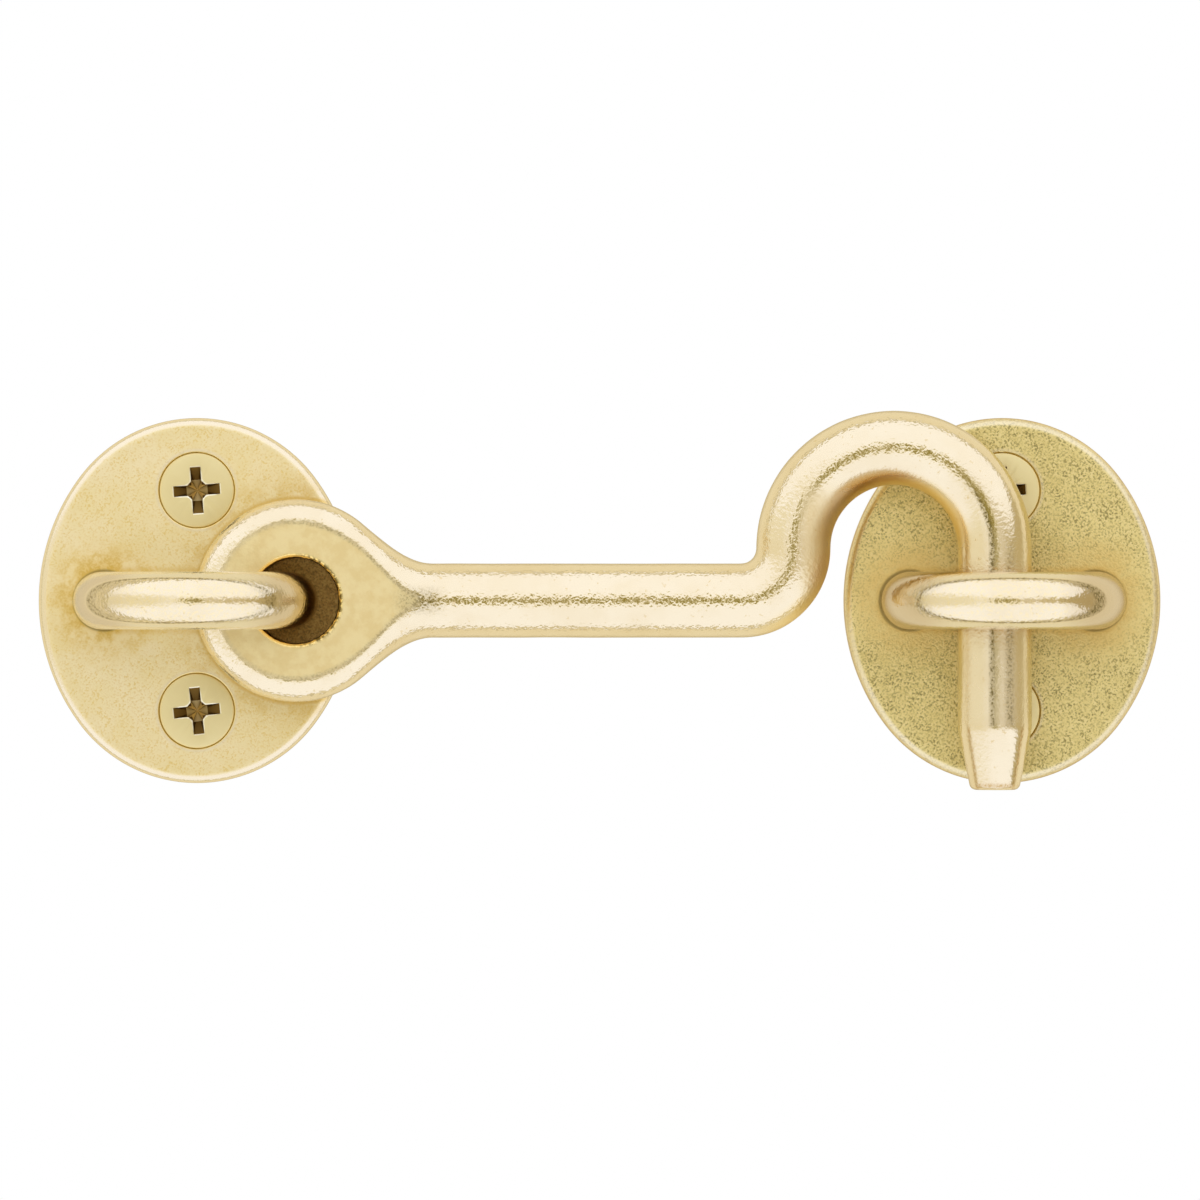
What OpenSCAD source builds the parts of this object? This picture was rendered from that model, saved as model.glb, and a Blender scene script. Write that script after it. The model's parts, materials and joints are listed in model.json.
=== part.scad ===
// Hook and eye latch: a cast brass cabin hook on two oval backplates.
// X runs from the hook plate to the keeper plate, +Y goes into the wall, +Z is up.
// The origin is the centre of the hook plate's back face.

/* [Backplates] */
// Height of each oval backplate
plate_h = 33.1; // [31:0.1:38]
// Width of each oval backplate
plate_w = 28.7; // [27:0.1:30.5]
// Thickness of each backplate
plate_t = 3; // [2.8:0.1:4.5]
// Rounding of the front rim of each backplate
plate_rim = 0.9; // [0.4:0.1:2]
// Distance between the centres of the two backplates
plate_spacing = 73; // [65:0.5:120]

/* [Staples] */
// Diameter of the staple wire
wire_d = 5.2; // [4.4:0.1:5.8]
// Distance between the centres of a staple's two legs
staple_span = 16.8; // [15.5:0.1:19]
// Diameter of the tail that goes through the backplate
tail_d = 4; // [3:0.1:4.2]
// Diameter of the riveted end of the tail, flush with the plate's back
rivet_d = 5.6; // [4.8:0.1:6.4]
// Included angle of the riveted end
rivet_angle = 90; // [80:1:100]

/* [Hook ring] */
// Outside diameter of the ring
ring_d = 18.3; // [17:0.1:20]
// Rounding of the ring's outer edges
ring_rim = 2.2; // [1.2:0.1:2.5]
// Rounding of the edges of the ring's eye
eye_rim = 0.3; // [0.2:0.1:0.8]
// Distance from the leg that carries the ring to the eye's centre
eye_shift = 0.7; // [0:0.1:0.8]
// Distance from the eye's centre to where the neck's fillets run out on the rod
neck_len = 10.7; // [10.6:0.1:13]

/* [Hook rod] */
// Diameter of the rod, which is also the thickness of the ring
rod_d = 6.7; // [5.6:0.1:7]
// Centreline radius of the bend where the rod turns up into the crook
bend_r = 4.7; // [4.4:0.1:6]
// Centreline radius of the crook over the keeper staple
crook_r = 9.1; // [8.6:0.1:10]
// Distance from the keeper plate's centre back to the tine's centreline
tine_offset = 0.8; // [0:0.1:1.2]
// Length of the tine below the rod's centreline
tine_drop = 17.1; // [14:0.1:20]
// Length of the tapered end of the tine
taper_len = 5.5; // [3:0.1:7]
// Diameter of the blunt tip of the tine
tip_d = 4.4; // [3.4:0.1:5]
// Rounding of the tip's edge
tip_round = 0.4; // [0.2:0.1:0.8]

/* [Screws] */
// Distance between a plate's two screws
screw_spacing = 20; // [18.5:0.1:21]
// Diameter of the flat head
head_d = 6.7; // [6:0.1:7.4]
// Included angle of the head and of its countersink
head_angle = 82; // [80:1:90]
// Height of the straight edge round the head
head_land = 0.2; // [0.1:0.05:0.3]
// Diameter over the thread
thread_d = 3.5; // [3.1:0.1:3.8]
// Diameter of the bare neck between the head and the thread
neck_d = 2.6; // [2.2:0.1:3]
// Length from the head's face to the point
screw_len = 19; // [14:0.5:32]
// Length of the point
point_len = 4; // [2:0.5:6]
// Span of the cross recess
recess_span = 4.2; // [3:0.1:4.6]
// Width of each arm of the cross recess
recess_w = 0.95; // [0.7:0.05:1.2]
// Depth of the cross recess
recess_depth = 1.8; // [1.2:0.1:2]
// Span of the cross recess at its floor
recess_floor = 1.3; // [1:0.1:2]
// Turn of the cross recess in each screw, hook plate first, upper before lower
recess_turns = [4, 6, 2, 9];

/* [Clearances] */
// Gap between the hook and the backplates behind it
run_gap = 0.3; // [0.3:0.05:0.6]
// Play of the ring's eye on the staple wire
eye_play = 2.5; // [2.4:0.1:3.6]
// Gap between the ring's front face and the arch at the edge of the eye
arch_gap = 0.4; // [0.3:0.05:1]
// Gap round each screw head in its countersink
head_gap = 0.1; // [0.05:0.05:0.3]
// Depth of each screw head below the plate's face
head_sink = 0.05; // [0:0.05:0.2]
// Gap round each screw's thread in its hole
thread_gap = 0.25; // [0.1:0.05:0.4]
// Gap round each staple tail in its hole
tail_gap = 0.05; // [0.03:0.01:0.1]
// Flat kept round the rounded edge of the eye
eye_land = 0.4; // [0.2:0.1:0.8]

/* [Hidden] */
$fn = 64;
brass = [0.87, 0.79, 0.56];
pale_brass = [0.92, 0.87, 0.63];

// Two end arcs and two side arcs make the oval. Their centres are the corners of 3-4-5 triangles,
// so each arc is tangent to the next on a line through both centres.
oval_unit = (plate_h - plate_w) / 4;
oval_end_y = 3 * oval_unit;
oval_side_x = 4 * oval_unit;
oval_end_r = plate_h / 2 - oval_end_y;
oval_side_r = plate_w / 2 + oval_side_x;
oval_ray = [0.8 * plate_h, oval_end_y + 0.6 * plate_h];

rod_r = rod_d / 2;
ring_r = ring_d / 2;
eye_r = (wire_d + eye_play) / 2;
leg_x = staple_span / 2;
eye_x = leg_x + eye_shift;
hook_depth = plate_t + run_gap + rod_r;

// The legs end where the arch just clears the ring's front face at the edge of the eye.
arch_inner_r = leg_x - wire_d / 2;
eye_edge_x = eye_x - eye_r;
leg_len = run_gap + rod_d + arch_gap - sqrt(arch_inner_r * arch_inner_r - eye_edge_x * eye_edge_x);

// Each neck fillet touches the ring and, at the neck's end, the rod.
neck_fillet = (neck_len * neck_len + rod_r * rod_r - ring_r * ring_r) / (2 * (ring_r - rod_r));
neck_y = rod_r + neck_fillet;
neck_reach = ring_r + neck_fillet;
neck_sweep = atan2(neck_len, neck_y);

// The bend and the crook meet level, as one tangent curve.
tine_x = plate_spacing - tine_offset;
crook_x = tine_x - crook_r;
bend_x = crook_x - crook_r - bend_r;

screw_y = screw_spacing / 2;
head_r = head_d / 2;
hole_r = thread_d / 2 + thread_gap;
sink_r = head_r + head_gap;
head_slope = tan(head_angle / 2);
rivet_slope = tan(rivet_angle / 2);

// Sets a shape drawn in plan, with +Z towards the viewer, on the wall.
module on_wall(x = 0) {
    translate([x, 0, 0])
        rotate([90, 0, 0])
            children();
}

// Half of a plate's section, out to radius r, with a rounded front edge.
module rim_section(r) {
    square([r - plate_rim, plate_t]);
    square([r, plate_t - plate_rim]);
    translate([r - plate_rim, plate_t - plate_rim])
        circle(plate_rim);
}

// The part of a round plate of radius r that lies inside a wedge.
module oval_part(centre, r, wedge) {
    intersection() {
        translate(centre)
            rotate_extrude()
                rim_section(r);
        linear_extrude(plate_t)
            polygon(wedge);
    }
}

module oval_blank() {
    x = oval_ray[0];
    y = oval_ray[1];
    for (side = [0, 1])
        mirror([side, 0, 0])
            oval_part(
                [-oval_side_x, 0, 0],
                oval_side_r,
                [[0, -oval_end_y], [x, -y], [x, y], [0, oval_end_y]]
            );
    for (end = [0, 1])
        mirror([0, end, 0])
            oval_part([0, oval_end_y, 0], oval_end_r, [[0, oval_end_y], [x, y], [-x, y]]);
}

// Clearance hole with a countersink open at the plate's front.
module screw_hole() {
    sink_depth = (sink_r - hole_r) / head_slope;
    translate([0, 0, -1])
        cylinder(h = plate_t + 2, r = hole_r);
    translate([0, 0, plate_t - head_sink - head_land - sink_depth])
        cylinder(h = sink_depth, r1 = hole_r, r2 = sink_r);
    translate([0, 0, plate_t - head_sink - head_land])
        cylinder(h = head_land + head_sink + 1, r = sink_r);
}

// A staple's tail, or with a gap the hole that it fills, widening to the plate's back.
module tail(gap) {
    rivet_h = (rivet_d - tail_d) / 2 / rivet_slope;
    cylinder(h = plate_t, r = tail_d / 2 + gap);
    cylinder(h = rivet_h, r1 = rivet_d / 2 + gap, r2 = tail_d / 2 + gap);
}

module backplate() {
    difference() {
        oval_blank();
        for (side = [-1, 1]) {
            translate([0, side * screw_y, 0])
                screw_hole();
            translate([side * leg_x, 0, 0])
                tail(tail_gap);
        }
    }
}

// A half-round arch on two straight legs, shouldered on the plate's face.
module staple() {
    for (side = [-1, 1])
        translate([side * leg_x, 0, 0]) {
            tail(0);
            translate([0, 0, plate_t])
                cylinder(h = leg_len, d = wire_d);
        }
    translate([0, 0, plate_t + leg_len])
        rotate([90, 0, 0])
            rotate_extrude(angle = 180)
                translate([leg_x, 0])
                    circle(d = wire_d);
}

// Section of the ring's wall, from the eye to the outside, with all its edges rounded.
module ring_section() {
    wall = ring_r - eye_r;
    for (side = [-1, 1]) {
        translate([ring_r - ring_rim, side * (rod_r - ring_rim)])
            circle(ring_rim);
        translate([eye_r + eye_rim, side * (rod_r - eye_rim)])
            circle(eye_rim);
    }
    translate([eye_r + eye_rim, -rod_r])
        square([wall - eye_rim - ring_rim, rod_d]);
    translate([ring_r - ring_rim, ring_rim - rod_r])
        square([ring_rim, rod_d - 2 * ring_rim]);
    translate([eye_r, eye_rim - rod_r])
        square([eye_rim, rod_d - 2 * eye_rim]);
}

// One side of the flat neck, from the ring's edge down to the rod's centreline.
module neck_half() {
    difference() {
        intersection() {
            translate([neck_len, neck_y, 0])
                rotate(-90)
                    mirror([0, 1, 0])
                        rotate_extrude(angle = neck_sweep) {
                            translate([neck_y, 0])
                                circle(rod_r);
                            translate([neck_y, -rod_r])
                                square([neck_reach - neck_y, rod_d]);
                        }
            translate([0, 0, -rod_d])
                cube([neck_len, neck_y, 2 * rod_d]);
        }
        translate([0, 0, -rod_d])
            cylinder(h = 2 * rod_d, r = eye_r + eye_rim + eye_land);
    }
}

module ring_and_neck() {
    rotate_extrude()
        ring_section();
    neck_half();
    mirror([0, 1, 0])
        neck_half();
}

// The rod from the neck through the bend and the crook to the top of the tine.
module bent_rod() {
    rod_start = eye_x + neck_len;
    translate([rod_start, 0, 0])
        rotate([0, 90, 0])
            cylinder(h = bend_x - rod_start, r = rod_r);
    translate([bend_x, bend_r, 0])
        rotate(-90)
            rotate_extrude(angle = 90)
                translate([bend_r, 0])
                    circle(rod_r);
    translate([crook_x, bend_r, 0])
        rotate_extrude(angle = 180)
            translate([crook_r, 0])
                circle(rod_r);
}

// The straight tine, tapered to a blunt tip.
module tine() {
    tine_len = bend_r + tine_drop;
    tip_r = tip_d / 2;
    translate([tine_x, bend_r, 0])
        rotate([90, 0, 0])
            rotate_extrude() {
                polygon([
                    [0, 0],
                    [rod_r, 0],
                    [rod_r, tine_len - taper_len],
                    [tip_r, tine_len - tip_round],
                    [0, tine_len - tip_round]
                ]);
                square([tip_r - tip_round, tine_len]);
                translate([tip_r - tip_round, tine_len - tip_round])
                    circle(tip_round);
            }
}

module cross_recess() {
    intersection() {
        for (turn = [0, 90])
            rotate(turn)
                translate([-recess_span / 2, -recess_w / 2, -recess_depth])
                    cube([recess_span, recess_w, 2 * recess_depth]);
        translate([0, 0, -recess_depth])
            cylinder(h = recess_depth, d1 = recess_floor, d2 = recess_span);
    }
}

// A flat-head wood screw, with its thread as a plain shank that starts at the plate's back.
module screw(turn) {
    face = plate_t - head_sink;
    tip = face - screw_len;
    neck_r = neck_d / 2;
    thread_r = thread_d / 2;
    difference() {
        rotate_extrude()
            polygon([
                [0, face],
                [head_r, face],
                [head_r, face - head_land],
                [neck_r, face - head_land - (head_r - neck_r) / head_slope],
                [neck_r, 0],
                [thread_r, 0],
                [thread_r, tip + point_len],
                [0, tip]
            ]);
        translate([0, 0, face])
            rotate(turn)
                cross_recess();
    }
}

module hook() {
    color(brass)
        on_wall()
            translate([0, 0, hook_depth]) {
                translate([eye_x, 0, 0])
                    ring_and_neck();
                bent_rod();
                tine();
            }
}

module hook_backplate() {
    color(brass)
        on_wall()
            backplate();
}

module hook_staple() {
    color(brass)
        on_wall()
            staple();
}

module hook_screw_upper() {
    color(pale_brass)
        on_wall()
            translate([0, screw_y, 0])
                screw(recess_turns[0]);
}

module hook_screw_lower() {
    color(pale_brass)
        on_wall()
            translate([0, -screw_y, 0])
                screw(recess_turns[1]);
}

module keeper_backplate() {
    color(brass)
        on_wall(plate_spacing)
            backplate();
}

module keeper_staple() {
    color(brass)
        on_wall(plate_spacing)
            staple();
}

module keeper_screw_upper() {
    color(pale_brass)
        on_wall(plate_spacing)
            translate([0, screw_y, 0])
                screw(recess_turns[2]);
}

module keeper_screw_lower() {
    color(pale_brass)
        on_wall(plate_spacing)
            translate([0, -screw_y, 0])
                screw(recess_turns[3]);
}

hook();
hook_backplate();
hook_staple();
hook_screw_upper();
hook_screw_lower();
keeper_backplate();
keeper_staple();
keeper_screw_upper();
keeper_screw_lower();
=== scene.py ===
# %% [markdown]
# # A brass cabin hook
# A cabin hook holds a door, a gate or a lid. A cast hook hangs by its ring on one staple, and its
# crook drops into the other. This lesson dresses a finished construction: the frame brings every
# piece at its real size and place, in metres, and each step gives one piece or one finish its look.

# %% Load the construction
import json
import math

import bmesh
import bpy
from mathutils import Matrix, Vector

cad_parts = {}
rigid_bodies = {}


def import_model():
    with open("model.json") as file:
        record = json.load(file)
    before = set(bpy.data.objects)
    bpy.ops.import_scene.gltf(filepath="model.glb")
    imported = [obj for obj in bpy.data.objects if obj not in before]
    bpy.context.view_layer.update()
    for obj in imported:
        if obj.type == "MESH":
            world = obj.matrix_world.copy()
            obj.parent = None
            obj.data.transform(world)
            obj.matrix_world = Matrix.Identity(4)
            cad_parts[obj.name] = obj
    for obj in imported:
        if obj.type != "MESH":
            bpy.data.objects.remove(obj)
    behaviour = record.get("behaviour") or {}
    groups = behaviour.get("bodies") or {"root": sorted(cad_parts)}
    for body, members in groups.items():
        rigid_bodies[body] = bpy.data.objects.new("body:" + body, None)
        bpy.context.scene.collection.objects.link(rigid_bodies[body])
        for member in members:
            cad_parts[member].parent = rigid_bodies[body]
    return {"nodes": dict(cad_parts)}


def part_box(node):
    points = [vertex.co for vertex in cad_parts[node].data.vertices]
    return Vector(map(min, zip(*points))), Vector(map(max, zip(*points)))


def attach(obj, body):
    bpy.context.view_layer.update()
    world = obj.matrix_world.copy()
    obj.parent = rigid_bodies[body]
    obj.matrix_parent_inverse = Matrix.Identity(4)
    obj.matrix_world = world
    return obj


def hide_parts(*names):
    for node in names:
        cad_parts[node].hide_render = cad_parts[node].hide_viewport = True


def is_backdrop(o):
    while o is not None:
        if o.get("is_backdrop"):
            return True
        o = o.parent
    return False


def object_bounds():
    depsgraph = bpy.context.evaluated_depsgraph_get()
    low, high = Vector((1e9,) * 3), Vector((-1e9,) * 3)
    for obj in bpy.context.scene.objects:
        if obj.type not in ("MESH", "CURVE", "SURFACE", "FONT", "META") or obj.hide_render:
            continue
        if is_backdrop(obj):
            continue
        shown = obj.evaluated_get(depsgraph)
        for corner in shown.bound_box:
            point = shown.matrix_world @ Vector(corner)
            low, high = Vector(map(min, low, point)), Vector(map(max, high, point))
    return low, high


for leftover in list(bpy.data.objects):
    bpy.data.objects.remove(leftover)
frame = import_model()
construction_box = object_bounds()
scene = bpy.context.scene
MM = 0.001
print("pieces:", ", ".join(sorted(frame["nodes"])))

# %% [markdown]
# ## Where the camera stands
# The latch is looked at straight from the front, from far away, so that the screw heads are true
# circles. A long lens does that. An orthographic camera would too, but a lens still gives a little
# depth.

# %% Camera
IMAGE_WIDTH = 108.4 * MM
CAMERA_DISTANCE = 1.2
SENSOR_WIDTH = 36.0
VIEW_CENTRE_X = 36.54 * MM
VIEW_CENTRE_Z = 0.05 * MM
hook_low, hook_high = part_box("hook")
hook_depth = (hook_low.y + hook_high.y) / 2

camera_data = bpy.data.cameras.new("camera")
camera_data.sensor_width = SENSOR_WIDTH
camera_data.lens = SENSOR_WIDTH * CAMERA_DISTANCE / IMAGE_WIDTH
camera = bpy.data.objects.new("camera", camera_data)
camera.location = (VIEW_CENTRE_X, hook_depth - CAMERA_DISTANCE, VIEW_CENTRE_Z)
camera.rotation_euler = (math.pi / 2, 0, 0)
scene.collection.objects.link(camera)
scene.camera = camera
scene.view_settings.view_transform = "Standard"
print(f"lens {camera_data.lens:.0f} mm, {CAMERA_DISTANCE} m from the hook")

# %% [markdown]
# ## Node sums as plain Python
# Materials, the light and the shapes below are sums on numbers that change from point to point.
# Blender does such sums with nodes. They could be placed one by one, but a sum is easier to read as
# a sum. A small class wraps one socket, so that `1 - grain` or `x * x + z * z` adds the nodes by
# itself. Every other node comes from its one method, `node`.

# %% A socket that can be reckoned with
class Signal:
    """One socket of a node tree, which takes part in sums like a number."""

    def __init__(self, tree, socket=None):
        self.tree = tree
        self.socket = socket

    def node(self, kind, sockets=None, output=0, **settings):
        made = self.tree.nodes.new(kind)
        for name, value in settings.items():
            setattr(made, name, value)
        for name, value in (sockets or {}).items():
            for part in value if isinstance(value, list) else [value]:
                if isinstance(part, Signal):
                    self.tree.links.new(part.socket, made.inputs[name])
                else:
                    made.inputs[name].default_value = part
        return Signal(self.tree, made.outputs[output])

    def maths(self, operation, *values):
        return self.node("ShaderNodeMath", dict(enumerate(values)), operation=operation)

    def __add__(self, other):
        return self.maths("ADD", self, other)

    __radd__ = __add__

    def __sub__(self, other):
        return self.maths("SUBTRACT", self, other)

    def __rsub__(self, other):
        return self.maths("SUBTRACT", other, self)

    def __mul__(self, other):
        return self.maths("MULTIPLY", self, other)

    __rmul__ = __mul__

    def __truediv__(self, other):
        return self.maths("DIVIDE", self, other)

    def __rtruediv__(self, other):
        return self.maths("DIVIDE", other, self)

    def __abs__(self):
        return self.maths("ABSOLUTE", self)

    def least(self, other):
        return self.maths("MINIMUM", self, other)

    def most(self, other):
        return self.maths("MAXIMUM", self, other)

    def cosine(self):
        return self.maths("COSINE", self)

    def sine(self):
        return self.maths("SINE", self)

    def sign(self):
        return self.maths("SIGN", self)

    def fraction(self):
        return self.maths("FRACT", self)

    def beyond(self, limit):
        """1 where this value is greater than the limit, and 0 elsewhere."""
        return self.maths("GREATER_THAN", self, limit)

    def axis(self, name):
        return self.node("ShaderNodeSeparateXYZ", {0: self}, output=name)

    def fade(self, start, end):
        """0 at start, 1 at end, and a soft rise between them."""
        limits = {"Value": self, "From Min": start, "From Max": end}
        return self.node("ShaderNodeMapRange", limits, interpolation_type="SMOOTHSTEP")

    def blend(self, first, second):
        """The colour first where this value is 0, and second where it is 1."""
        return self.node("ShaderNodeMix", {0: self, 6: first, 7: second}, output=2, data_type="RGBA")


print("sums ready:", ", ".join(name for name in vars(Signal) if not name.startswith("_")))

# %% [markdown]
# ## The light
# Bright metal has hardly any colour of its own: it shows what stands around it. Such hardware is
# photographed in a white tent on a cream table, and what is in that tent draws the shape. The dark
# lens runs as a line along every rod. A golden slit on its right and a pale haze on its left shade
# the upright pieces and the staples. A gap further right darkens one end of each staple. A seam
# parts the tent from the table, whose cream edges every round piece, and the wall behind the latch
# is golden. Lamps and real sheets could do this too, but a colour for each direction of the world is
# easier to set. The camera itself sees plain white.

# %% Colours of the tent
TENT_WHITE = (1.13, 1.14, 1.23, 1)
LENS_GLOW = (1.06, 0.99, 0.74, 1)
LENS_BROWN = (0.30, 0.24, 0.04, 1)
SLIT_GOLD = (0.47, 0.34, 0.03, 1)
HAZE_CREAM = (0.93, 0.875, 0.71, 1)
GAP_BROWN = (0.57, 0.47, 0.26, 1)
TABLE_CREAM = (0.92, 0.84, 0.64, 1)
SEAM_BROWN = (0.58, 0.50, 0.30, 1)
WALL_GOLD = (0.64, 0.54, 0.33, 1)
PLAIN_WHITE = (1, 1, 1, 1)
print("the tent is a little blue:", TENT_WHITE[:3])

# %% Where each thing is in the tent
# Where it begins and where it is full, in degrees off the lens, up or to the right.
LENS_OFF = (12, 7)
GLOW_OFF = (17, 10)
SLIT_UP = (13, 4)
SLIT_RIGHT = (-40, 45)
HAZE_UP = (30, 8)
HAZE_RIGHT = (-1, -42)
GAP_INTO = (0, 4)
GAP_EDGE_INTO = (7, 3)
GAP_RIGHT = 49
GAP_SLOPE = 0.7

# The same for what lies behind the latch, as a share of the way to the wall.
SEAM_BEGINS = (0.02, 0.08)
SEAM_ENDS = (0.22, 0.14)
TABLE_BEGINS = (0.10, 0.18)
WALL_BEGINS = (0.70, 0.97)
SLIT_STRENGTH = 0.76
GAP_EDGE_STRENGTH = 0.7
print(f"the lens is {2 * LENS_OFF[0]} degrees wide, and the gap begins {GAP_RIGHT} degrees to the right")


# %% Hang the tent
def degrees_fade(angle, limits):
    return angle.fade(*(math.radians(limit) for limit in limits))


world = bpy.data.worlds.new("light tent")
world.use_nodes = True
scene.world = world
sky = Signal(world.node_tree)
looking = sky.node("ShaderNodeTexCoord", output="Generated")
towards_wall = looking.axis("Y")
turned = sky.maths("ARCTAN2", looking.axis("X"), 0 - towards_wall)
raised = abs(sky.maths("ARCSINE", looking.axis("Z")))
off_lens = sky.maths("ARCCOSINE", 0 - towards_wall)
lens = degrees_fade(off_lens, LENS_OFF)
glow = degrees_fade(off_lens, GLOW_OFF)
slit = degrees_fade(raised, SLIT_UP) * degrees_fade(turned, SLIT_RIGHT) * SLIT_STRENGTH
haze = degrees_fade(raised, HAZE_UP) * degrees_fade(turned, HAZE_RIGHT)
into_gap = (turned - math.radians(GAP_RIGHT)) * GAP_SLOPE - raised
gap = degrees_fade(into_gap, GAP_INTO)
gap_edge = gap * degrees_fade(into_gap, GAP_EDGE_INTO) * GAP_EDGE_STRENGTH
table = towards_wall.fade(*TABLE_BEGINS)
wall = towards_wall.fade(*WALL_BEGINS)
seam = towards_wall.fade(*SEAM_BEGINS) * towards_wall.fade(*SEAM_ENDS)
tent = glow.blend(TENT_WHITE, LENS_GLOW)
tent = haze.blend(tent, HAZE_CREAM)
tent = slit.blend(tent, SLIT_GOLD)
tent = lens.blend(tent, LENS_BROWN)
tent = gap.blend(tent, GAP_BROWN)
tent = gap_edge.blend(tent, LENS_BROWN)
tent = table.blend(tent, TABLE_CREAM)
tent = wall.blend(tent, WALL_GOLD)
tent = seam.blend(tent, SEAM_BROWN)
seen = sky.node("ShaderNodeLightPath", output="Is Camera Ray")
tent = seen.blend(tent, PLAIN_WHITE)
background = world.node_tree.nodes["Background"]
world.node_tree.links.new(tent.socket, background.inputs["Color"])
print("tent nodes:", len(world.node_tree.nodes))

# %% [markdown]
# ## The floor
# The latch hangs on a wall, so the floor lies a hand's breadth below it. A sheet of pale paper is
# enough: it is only there to be seen, and to catch the soft shadow, in views from above.

# %% Floor
FLOOR_DROP = 100 * MM
FLOOR_RADIUS = 0.85
FLOOR_STEPS = 96
FIBRE_SIZE = 2.5 * MM
PAPER_DARK = (0.82, 0.80, 0.74, 1)
PAPER_LIGHT = (0.88, 0.86, 0.80, 1)
PAPER_ROUGHNESS = 0.9
floor_centre = Vector((VIEW_CENTRE_X, 0, -FLOOR_DROP))
floor_data = bpy.data.meshes.new("floor")
floor_edge = [
    floor_centre + FLOOR_RADIUS * Vector((math.cos(turn), math.sin(turn), 0))
    for turn in (math.tau * step / FLOOR_STEPS for step in range(FLOOR_STEPS))
]
floor_data.from_pydata(floor_edge, [], [range(FLOOR_STEPS)])
floor = bpy.data.objects.new("floor", floor_data)
floor.visible_glossy = False
scene.collection.objects.link(floor)
floor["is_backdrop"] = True
paper = bpy.data.materials.new("floor paper")
paper.use_nodes = True
paint = Signal(paper.node_tree)
fibre = paint.node(
    "ShaderNodeTexNoise",
    {"Vector": paint.node("ShaderNodeTexCoord", output="Object"), "Scale": 1 / FIBRE_SIZE},
)
tone = fibre.blend(PAPER_DARK, PAPER_LIGHT)
shell = paper.node_tree.nodes["Principled BSDF"]
paper.node_tree.links.new(tone.socket, shell.inputs["Base Color"])
shell.inputs["Roughness"].default_value = PAPER_ROUGHNESS
floor_data.materials.append(paper)
print("floor", FLOOR_DROP / MM, "mm below the rod")

# %% [markdown]
# ## Brass
# The latch is unlacquered brass that was tumbled, not polished. The metal is pale, its flats are
# duller and yellower than its edges, golden tarnish lies in pits and clouds, and stains lie beside
# the staples and the ring. Shade in the hollows, some reflections and some highlights are painted
# into the colour. A fine grain breaks every reflection. One small recipe book holds what all the
# finishes share: where a point lies, noise of a given size, marks that a shape carries, and the metal
# itself. The noise is laid askew, so that its cells line up with no edge of the latch.

# %% The recipe book
ASKEW_AXIS = (1.0, 2.0, 0.7)
ASKEW_ANGLE = 1.0
NOISE_ROUGHNESS = 0.6


class Brass:
    """The signals of one brass finish, and the material that they make."""

    def __init__(self, name):
        self.material = bpy.data.materials.new(name)
        self.material.use_nodes = True
        self.tree = self.material.node_tree
        self.start = Signal(self.tree)
        self.place = self.start.node("ShaderNodeTexCoord", output="Object")
        askew = {"Vector": self.place, "Axis": ASKEW_AXIS, "Angle": ASKEW_ANGLE}
        self.askew = self.start.node("ShaderNodeVectorRotate", askew)

    def noise(self, size, detail=2.0):
        sockets = {"Vector": self.askew, "Scale": 1 / size, "Detail": detail}
        sockets["Roughness"] = NOISE_ROUGHNESS
        return self.start.node("ShaderNodeTexNoise", sockets)

    def marked(self, attribute):
        """A value that the shape itself carries."""
        return self.start.node("ShaderNodeAttribute", output="Fac", attribute_name=attribute)

    def fill(self, colour, roughness, height, relief):
        bump = {"Height": height, "Strength": 1.0, "Distance": relief}
        shell = self.tree.nodes["Principled BSDF"]
        shell.inputs["Metallic"].default_value = 1.0
        self.tree.links.new(colour.socket, shell.inputs["Base Color"])
        self.tree.links.new(roughness.socket, shell.inputs["Roughness"])
        self.tree.links.new(self.start.node("ShaderNodeBump", bump).socket, shell.inputs["Normal"])
        print("finish:", self.material.name)
        return self.material


print(f"noise laid {math.degrees(ASKEW_ANGLE):.0f} degrees askew")

# %% [markdown]
# ## From a node tree to a plain mesh
# Every piece here follows a rule, so each is made with Geometry Nodes. The tree's inputs are its
# sizes. The modifier could stay on the piece. But when the tree has run, the result is copied to a
# plain mesh, so that nothing is left to work out when the latch moves.

# %% Begin a tree
def shape_tree(name, sizes):
    """A new tree with a float input for each size, and the signals that read them."""
    tree = bpy.data.node_groups.new(name, "GeometryNodeTree")
    tree.interface.new_socket("Geometry", in_out="INPUT", socket_type="NodeSocketGeometry")
    for size in sizes:
        tree.interface.new_socket(size, in_out="INPUT", socket_type="NodeSocketFloat")
    tree.interface.new_socket("Geometry", in_out="OUTPUT", socket_type="NodeSocketGeometry")
    inputs = tree.nodes.new("NodeGroupInput")
    start = Signal(tree, inputs.outputs["Geometry"])
    return start, [Signal(tree, inputs.outputs[size]) for size in sizes]


# %% Run a tree once
def run_tree(shape, name, sizes, start_mesh=None, sharp_angle=180):
    """The plain mesh object that the tree gives for these sizes."""
    tree = shape.tree
    output = tree.nodes.new("NodeGroupOutput")
    tree.links.new(shape.socket, output.inputs["Geometry"])
    maker = bpy.data.objects.new(name, start_mesh or bpy.data.meshes.new(name))
    scene.collection.objects.link(maker)
    modifier = maker.modifiers.new("shape", "NODES")
    modifier.node_group = tree
    for item in tree.interface.items_tree:
        if item.in_out == "INPUT" and item.name in sizes:
            modifier[item.identifier] = sizes[item.name]
    evaluated = maker.evaluated_get(bpy.context.evaluated_depsgraph_get())
    mesh = bpy.data.meshes.new_from_object(evaluated)
    maker.modifiers.remove(modifier)
    maker.data = mesh
    mesh.name = name
    mesh.polygons.foreach_set("use_smooth", [True] * len(mesh.polygons))
    mesh.set_sharp_from_angle(angle=math.radians(sharp_angle))
    print(f"{name}: {len(mesh.vertices)} points, {len(mesh.polygons)} faces")
    return maker


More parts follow.
